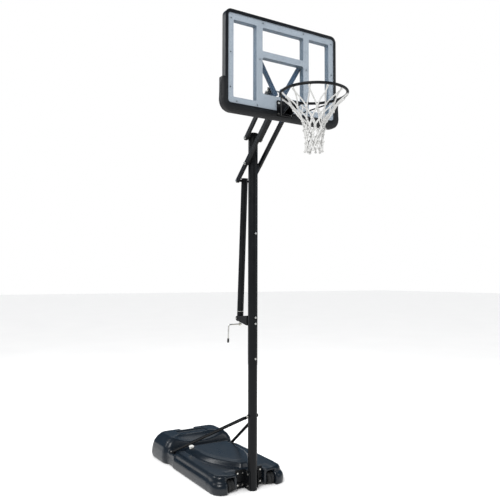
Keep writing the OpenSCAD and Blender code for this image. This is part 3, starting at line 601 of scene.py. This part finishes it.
class HOOP_OT_tank(bpy.types.Operator):
    """Model the blow-moulded tank with its tiers, dome, groove, rear block and handle"""
    bl_idname = "hoop.tank"
    bl_label = "Tank"

    def dome_outline(self, sizes, inset):
        """A pointed oval that widens from the front and ends square at the groove."""
        front = sizes.dome_front + 1.6 * inset
        rear = sizes.dome_rear - 0.3 * inset
        half = sizes.dome_half - inset
        tip, steps, widest = 0.034, 18, 0.62
        side = []
        for step in range(steps + 1):
            share = step / steps
            width = tip + (half - tip) * min(1.0, sin(0.5 * pi * min(1.0, share / widest)) ** 0.9)
            side.append((width, front + share * (rear - front)))
        return side + [(-x, y) for x, y in reversed(side)]

    def execute(self, context):
        sizes = context.scene.hoop_tank
        low, high = (Vector(corner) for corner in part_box("base_tank"))
        half, deck_half, rear_half = 0.345, 0.325, 0.372
        wall = 0.062
        corner = 0.05
        parts = [
            stacked(round_outline(-half, wall + 0.05, half, 0.862, corner),
                    [(0, 0.985, 0.99), (0.02, 1, 1), (sizes.lower_top - 0.034, 1, 1),
                     (sizes.lower_top - 0.015, 0.986, 0.992), (sizes.lower_top - 0.005, 0.966, 0.985),
                     (sizes.lower_top, 0.942, 0.975)], "lower tier"),
            stacked(round_outline(-deck_half, 0.112, deck_half, 0.846, corner),
                    [(0.06, 1, 1), (sizes.deck - 0.03, 1, 1), (sizes.deck - 0.013, 0.985, 0.99),
                     (sizes.deck - 0.004, 0.963, 0.978), (sizes.deck, 0.935, 0.962)], "deck"),
            block((-0.156, wall, 0.004), (0.156, 0.16, sizes.deck - 0.004), "front wall"),
            stacked(self.dome_outline(sizes, 0.0),
                    [(0.1, 1, 1), (sizes.deck + 0.007, 1, 1), (sizes.step - 0.004, 0.955, 0.985),
                     (sizes.dome - 0.008, 0.86, 0.95), (sizes.dome - 0.003, 0.82, 0.94)], "dome slope"),
            stacked(self.dome_outline(sizes, 0.062),
                    [(0.12, 1.06, 1.02), (sizes.dome - 0.003, 1, 1), (sizes.dome, 0.96, 0.985)], "dome top"),
            block((-0.337, 0.8, 0.008), (0.337, 0.96, 0.119), "groove"),
        ]
        for side in (-1, 1):
            outer = stacked(round_outline(0.23, low.y, half, 0.24, (0.01, 0.01, 0.02, 0.1), 9),
                            [(0, 0.98, 0.975), (0.02, 0.995, 1), (0.046, 1, 1), (0.066, 0.99, 0.975),
                             (0.082, 0.968, 0.92), (0.09, 0.94, 0.86)])
            upper = stacked(round_outline(0.226, 0.014, 0.326, 0.24, (0.01, 0.01, 0.02, 0.09), 9),
                            [(0.06, 1, 1), (sizes.deck - 0.036, 1, 1), (sizes.deck - 0.016, 0.982, 0.965),
                             (sizes.deck - 0.005, 0.95, 0.91), (sizes.deck, 0.92, 0.85)])
            roof = block((0.14, 0.012, 0.117), (0.24, 0.2, sizes.deck - 0.003), "roof", 0.006)
            cheek = block((0.126, 0.02, 0.016), (0.156, 0.08, sizes.deck - 0.006), "cheek", 0.004)
            for part in (outer, upper, roof, cheek):
                part.data.transform(Matrix.Scale(side, 4, (1, 0, 0)))
                outward(part)
                parts.append(part)
        rear = stacked(round_outline(-rear_half, 0.935, rear_half, high.y, 0.07),
                       [(0.0, 0.955, 0.985), (0.022, 0.985, 0.996), (0.05, 1, 1), (0.1, 0.98, 0.99),
                        (0.15, 0.945, 0.955), (0.19, 0.87, 0.88), (0.216, 0.79, 0.79),
                        (high.z, 0.74, 0.74)], "rear block")
        carve(rear, egg("scoop", (0, 0.9, 0.286), (0.33, 0.25, 0.118)))
        parts.append(rear)
        tank = joined(parts, "tank_shell")
        modify(tank, "REMESH", mode="VOXEL", voxel_size=sizes.grain)
        carve(tank,
              block((-0.076, 1.216, 0.193), (0.076, high.y + 0.05, 0.3), "notch", 0.012),
              block((-0.15, 1.085, 0.212), (0.15, 1.185, 0.3), "panel", 0.01),
              block((-0.4, 0.868, 0.114), (0.4, 0.922, 0.3), "groove floor", 0.008))
        modify(tank, "REMESH", mode="VOXEL", voxel_size=sizes.grain)
        modify(tank, "SMOOTH", factor=0.5, iterations=9)
        top = max(vertex.co.z for vertex in tank.data.vertices)
        bottom = min(vertex.co.z for vertex in tank.data.vertices)
        for vertex in tank.data.vertices:
            vertex.co.z = (vertex.co.z - bottom) * (high.z - low.z) / (top - bottom)
        only(tank)
        bpy.ops.object.shade_smooth()
        dress(tank, "tank_plastic", "stand")
        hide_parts("base_tank")
        return {"FINISHED"}


class HOOP_OT_wheels(bpy.types.Operator):
    """Model the transport wheel with two rows of lugs, and copy it to the other side"""
    bl_idname = "hoop.wheels"
    bl_label = "Wheels"

    def execute(self, context):
        sizes = context.scene.hoop_wheels
        width = box_size("wheel_right").x
        radius = box_size("wheel_right").y / 2 - sizes.lug_height
        faces = 2 * sizes.lugs
        bore, slack = 0.0062, 0.0003
        band_start, band_end = 0.004, 0.024
        rings = [(0.0, bore), (0.0, 0.015), (0.007, 0.017), (0.007, radius - 0.014), (0.0, radius - 0.01),
                 (0.001, radius - 0.003), (band_start, radius), (band_end, radius), (0.0265, radius - 0.004)]
        rings += [(width - depth, r) for depth, r in reversed(rings)]
        circle = [(cos(2 * pi * i / faces), sin(2 * pi * i / faces)) for i in range(faces)]
        wheel = stacked(circle, [(depth, r, r) for depth, r in rings], "wheel")
        with editing(wheel):
            for face in wheel.data.polygons:
                face.select = abs(face.normal.z) > 0.9 and len(face.vertices) > 4
            edit()
            bpy.ops.mesh.delete(type="ONLY_FACE")
        with editing(wheel, "EDGE"):
            for edge in wheel.data.edges:
                ends = [wheel.data.vertices[i].co for i in edge.vertices]
                edge.select = all(Vector((c.x, c.y)).length < bore + slack for c in ends)
            edit()
            bpy.ops.mesh.bridge_edge_loops()
        with editing(wheel):
            for face in wheel.data.polygons:
                spot = face.center
                out = Vector((spot.x, spot.y))
                depth = min(spot.z, width - spot.z)
                band = band_start < depth < band_end
                number = int(round((Vector((1, 0)).angle_signed(out) % (2 * pi)) / (2 * pi) * faces - 0.5))
                shift = 0 if spot.z < width / 2 else 1
                face.select = band and out.length > radius * 0.97 and (number + shift) % 2 == 0
            edit()
            bpy.ops.mesh.extrude_faces_move(TRANSFORM_OT_shrink_fatten={"value": sizes.lug_height})
        modify(wheel, "BEVEL", width=0.0009, segments=2, limit_method="ANGLE", angle_limit=radians(35))
        outward(wheel)
        wheel.data.transform(Matrix.Translation((0, 0, -width / 2)))
        wheel.data.transform(Matrix.Rotation(radians(90), 4, "Y"))
        other = wheel.copy()
        other.data = wheel.data.copy()
        context.collection.objects.link(other)
        for item, node, body in ((wheel, "wheel_right", "right_wheel"), (other, "wheel_left", "left_wheel")):
            item.data.transform(Matrix.Translation(box_mid(node)))
            item.name = node + "_treaded"
            smooth(item, 30)
            dress(item, "wheel_plastic", body)
            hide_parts(node)
        return {"FINISHED"}


class HOOP_OT_pad(bpy.types.Operator):
    """Model the soft pad that wraps the board's lower edge, swollen by a cloth simulation"""
    bl_idname = "hoop.pad"
    bl_label = "Edge pad"

    def u_outline(self, x, low, high, arm, sole, outer, inner, steps=9):
        """Points round a U in X and Z: half width x, low to high, arm and sole thick, corner radii."""
        points = [(-x, high)]
        for turn, centre in ((180, (-x + outer, low + outer)), (270, (x - outer, low + outer))):
            for step in range(steps + 1):
                angle = radians(turn + 90 * step / steps)
                points.append((centre[0] + outer * cos(angle), centre[1] + outer * sin(angle)))
        points += [(x, high), (x - arm, high)]
        floor = low + sole + inner
        for turn, centre in ((360, (x - arm - inner, floor)), (270, (-x + arm + inner, floor))):
            for step in range(steps + 1):
                angle = radians(turn - 90 * step / steps)
                points.append((centre[0] + inner * cos(angle), centre[1] + inner * sin(angle)))
        points.append((-x + arm, high))
        return points

    def execute(self, context):
        sizes = context.scene.hoop_pad
        low, high = (Vector(corner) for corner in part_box("edge_pad"))
        inset = sizes.skin
        face_edge = 0.493
        arm = high.x - face_edge
        sole = 0.072
        outer, inner = 0.086, 0.042
        points = self.u_outline(high.x - inset, low.z + inset, high.z - inset,
                                arm - 2 * inset, sole - 2 * inset, outer, inner)
        depth = high.y - low.y - 2 * inset
        pad = stacked(points, [(0, 1, 1), (depth, 1, 1)], "pad")
        pad.data.transform(Matrix.Rotation(radians(90), 4, "X"))
        pad.data.transform(Matrix.Translation((0, high.y - inset, 0)))
        outward(pad)
        modify(pad, "REMESH", mode="VOXEL", voxel_size=sizes.grain)
        modify(pad, "SMOOTH", factor=0.5, iterations=5)
        pad.name = "edge_pad_soft"
        frames = 14
        before = [vertex.co.copy() for vertex in pad.data.vertices]
        only(pad)
        bpy.ops.object.modifier_add(type="CLOTH")
        cloth = pad.modifiers[-1]
        cloth.settings.use_pressure = True
        cloth.settings.uniform_pressure_force = 4.0
        cloth.settings.effector_weights.gravity = 0.0
        cloth.settings.quality = 4
        cloth.point_cache.frame_start = 1
        cloth.point_cache.frame_end = frames
        for number in range(1, frames + 1):
            context.scene.frame_set(number)
        bpy.ops.object.modifier_apply(modifier=cloth.name)
        context.scene.frame_set(1)
        for vertex, old in zip(pad.data.vertices, before):
            move = vertex.co - old
            if move.length > sizes.swell:
                vertex.co = old + move * (sizes.swell / move.length)
        modify(pad, "SMOOTH", factor=0.5, iterations=3)
        modify(pad, "SUBSURF", levels=1, render_levels=1)
        plate_low, plate_high = (Vector(corner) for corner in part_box("rim_plate"))
        room = 0.003
        carve(pad, block((plate_low.x - room, low.y - 0.03, plate_low.z - room),
                         (plate_high.x + room, plate_high.y, plate_high.z), "plate room", room))
        smooth(pad, 50)
        dress(pad, "pad_foam", "board")
        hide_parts("edge_pad")
        return {"FINISHED"}


class HOOP_OT_net(bpy.types.Operator):
    """Knot the net: a loop from every hook, then rows of diamonds down to the tips"""
    bl_idname = "hoop.net"
    bl_label = "Net"

    def execute(self, context):
        sizes = context.scene.hoop_net
        ring_low, ring_high = (Vector(corner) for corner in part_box("rim_ring"))
        net_low = Vector(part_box("net")[0])
        centre = (ring_low + ring_high) / 2
        ring_radius = (ring_high.x - ring_low.x) / 2 - 0.010
        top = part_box("net_hooks")[0][2] + 0.004
        bottom = net_low.z + 0.004
        hooks = 12
        rows = sizes.rows
        heights = [0.0, 0.27, 0.46, 0.6, 0.72, 0.84, 1.0]
        widths = [ring_radius, 0.143, 0.086, 0.073, 0.066, 0.061, 0.063]
        steps = 8
        up = Vector((0, 0, 1))

        def wobble(row, index, amount):
            """A small steady irregularity of one knot."""
            return amount * sin(7.3 * index + 3.1 * row) * cos(2.7 * index - 1.9 * row)

        def knot(row, index):
            """Where a knot hangs."""
            half = 0.5 * (row % 2)
            angle = 2 * pi * (index + 0.5 + half) / hooks + (wobble(row, index, 0.09) if row else 0.0)
            radius = widths[row] + (wobble(row, index + 5, 0.009) if row else 0.0)
            height = top + (bottom - top) * heights[row] + (wobble(row + 2, index, 0.012) if row else 0.0)
            if row == rows:
                height = max(height, bottom)
            return Vector((centre.x + radius * cos(angle), centre.y + radius * sin(angle), height))

        def directions(place):
            """Level directions at a place: away from the net's middle, and round it."""
            out = Vector((place.x - centre.x, place.y - centre.y, 0)).normalized()
            return out, out.cross(up)

        def strand(start, end, bulge, spin):
            """A cord between two knots, a little slack and a little to one side."""
            path = []
            for step in range(steps + 1):
                share = step / steps
                place = start.lerp(end, share)
                out, side = directions(place)
                bow = sin(pi * share)
                path.append(place + out * bulge * bow + side * spin * sin(2 * pi * share))
            return path

        paths = []
        knots = []
        for row in range(rows):
            for index in range(hooks):
                start = knot(row, index)
                for step in (0, 1):
                    below = (index + step - (1 if row % 2 == 0 else 0)) % hooks
                    end = knot(row + 1, below)
                    sag = -0.012 if row == 0 else -0.003 + wobble(row, index + step, 0.006)
                    turn = (0.002 if step else -0.002) + wobble(row + step, index, 0.002)
                    begin = start
                    if row == 0:
                        side = directions(start)[1]
                        begin = start + side * (0.004 if step else -0.004) - Vector((0, 0, 0.004))
                    paths.append(strand(begin, end, sag, turn))
                if row:
                    knots.append(start)
                else:
                    side = directions(start)[1]
                    loop = []
                    for step in range(steps + 1):
                        angle = pi * step / steps
                        rise = Vector((0, 0, 0.0055 * sin(angle) - 0.004))
                        loop.append(start + side * (0.0045 * -cos(angle)) + rise)
                    paths.append(loop)
        for index in range(hooks):
            knots.append(knot(rows, index))
        cords = wire_rods(paths, sizes.cord / 2, "net_cords", 8)
        lumps = [cords]
        bpy.ops.object.select_all(action="DESELECT")
        bpy.ops.mesh.primitive_ico_sphere_add(subdivisions=2, radius=sizes.knot / 2)
        lump = bpy.context.object
        with editing(lump):
            for face in lump.data.polygons:
                face.select = abs(face.center.z) < sizes.knot * 0.2
            edit()
            bpy.ops.transform.resize(value=(1.18, 1.18, 1), center_override=(0, 0, 0))
        for number, place in enumerate(knots):
            copy = lump.copy()
            copy.data = lump.data.copy()
            context.collection.objects.link(copy)
            copy.data.transform(Matrix.Translation(place) @ Matrix.Rotation(2.4 * number, 4, "Z")
                                @ Matrix.Rotation(0.5 * sin(5.0 * number), 4, "X"))
            lumps.append(copy)
        bpy.data.objects.remove(lump, do_unlink=True)
        net = joined(lumps, "net_knotted")
        only(net)
        bpy.ops.object.shade_smooth()
        dress(net, "net_cord", "board")
        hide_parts("net")
        return {"FINISHED"}


class HOOP_OT_stage(bpy.types.Operator):
    """Lay the pale floor, hang the lights and place the camera"""
    bl_idname = "hoop.stage"
    bl_label = "Stage"

    def lamp(self, name, place, target, size, power):
        """A soft square light that looks at a point."""
        data = bpy.data.lights.new(name, "AREA")
        data.shape = "SQUARE"
        data.size = size
        data.energy = power
        item = bpy.data.objects.new(name, data)
        bpy.context.collection.objects.link(item)
        item.location = place
        item.rotation_euler = (Vector(target) - Vector(place)).to_track_quat("-Z", "Y").to_euler()

    def execute(self, context):
        sizes = context.scene.hoop_stage
        bpy.ops.object.select_all(action="DESELECT")
        bpy.ops.mesh.primitive_grid_add(x_subdivisions=8, y_subdivisions=8, size=120)
        floor = settle(bpy.context.object, "studio_floor")
        floor_gap = 0.0005
        floor.data.transform(Matrix.Translation((0, 0, CAD_BOX[0][2] - floor_gap)))
        floor.data.materials.append(make_floor("studio floor"))
        world = bpy.data.worlds.new("studio")
        world.use_nodes = True
        nodes, links = world.node_tree.nodes, world.node_tree.links
        sky = nodes["Background"]
        path = nodes.new("ShaderNodeLightPath")
        dimmed = nodes.new("ShaderNodeMix")
        dimmed.data_type = "RGBA"
        dimmed.inputs[MIX_FIRST].default_value = (*sizes.sky, 1)
        dimmed.inputs[MIX_SECOND].default_value = (*sizes.mirrored_sky, 1)
        links.new(path.outputs["Is Glossy Ray"], dimmed.inputs[MIX_SHARE])
        links.new(dimmed.outputs[MIX_RESULT], sky.inputs["Color"])
        context.scene.world = world
        context.scene.view_settings.view_transform = "Standard"
        self.lamp("key", place=(-4.5, -3.5, 6.5), target=(0, 0, 1.4), size=2.4, power=345)
        self.lamp("fill", place=(5.0, -4.5, 4.0), target=(0, -0.3, 1.8), size=3.5, power=90)
        self.lamp("side", place=(-4.6, 4.0, 5.6), target=(-0.4, -0.3, 2.8), size=2.4, power=150)
        self.lamp("back", place=(2.5, 5.5, 4.5), target=(0, 0.4, 1.2), size=3.0, power=25)
        turn, tilt, roll = sizes.camera_turn, sizes.camera_tilt, sizes.camera_roll
        ahead = Vector((-sin(turn) * cos(tilt), cos(turn) * cos(tilt), sin(tilt)))
        right = Vector((cos(turn), sin(turn), 0))
        up = right.cross(ahead)
        turned_right = cos(roll) * right + sin(roll) * up
        turned_up = -sin(roll) * right + cos(roll) * up
        data = bpy.data.cameras.new("view")
        data.lens = sizes.lens
        data.sensor_width = 36
        data.clip_end = 200
        camera = bpy.data.objects.new("view", data)
        context.collection.objects.link(camera)
        matrix = Matrix((turned_right, turned_up, -ahead)).transposed().to_4x4()
        matrix.translation = Vector(sizes.camera_place)
        camera.matrix_world = matrix
        context.scene.camera = camera
        return {"FINISHED"}


OPERATORS = (HOOP_OT_finishes, HOOP_OT_tank, HOOP_OT_wheels, HOOP_OT_pad, HOOP_OT_net, HOOP_OT_stage)


class HOOP_PT_panel(bpy.types.Panel):
    """Lists the hoop's steps in the sidebar"""
    bl_idname = "HOOP_PT_panel"
    bl_label = "Basketball hoop"
    bl_space_type = "VIEW_3D"
    bl_region_type = "UI"
    bl_category = "Hoop"

    def draw(self, context):
        for operator in OPERATORS:
            self.layout.operator(operator.bl_idname)


GROUPS = {
    "hoop_tank": HoopTankSizes,
    "hoop_wheels": HoopWheelSizes,
    "hoop_pad": HoopPadSizes,
    "hoop_net": HoopNetSizes,
    "hoop_stage": HoopStageSizes,
    "hoop_colours": HoopColours,
}


def register():
    """Registers the groups, the operators and the panel."""
    for name, group in GROUPS.items():
        bpy.utils.register_class(group)
        setattr(bpy.types.Scene, name, bpy.props.PointerProperty(type=group))
    for item in (*OPERATORS, HOOP_PT_panel):
        bpy.utils.register_class(item)


def unregister():
    """Removes what register added."""
    for item in (HOOP_PT_panel, *reversed(OPERATORS)):
        bpy.utils.unregister_class(item)
    for name, group in reversed(GROUPS.items()):
        delattr(bpy.types.Scene, name)
        bpy.utils.unregister_class(group)


def main():
    """Builds everything in order."""
    register()
    for operator in OPERATORS:
        group, name = operator.bl_idname.split(".")
        getattr(getattr(bpy.ops, group), name)()


if __name__ == "__main__":
    main()
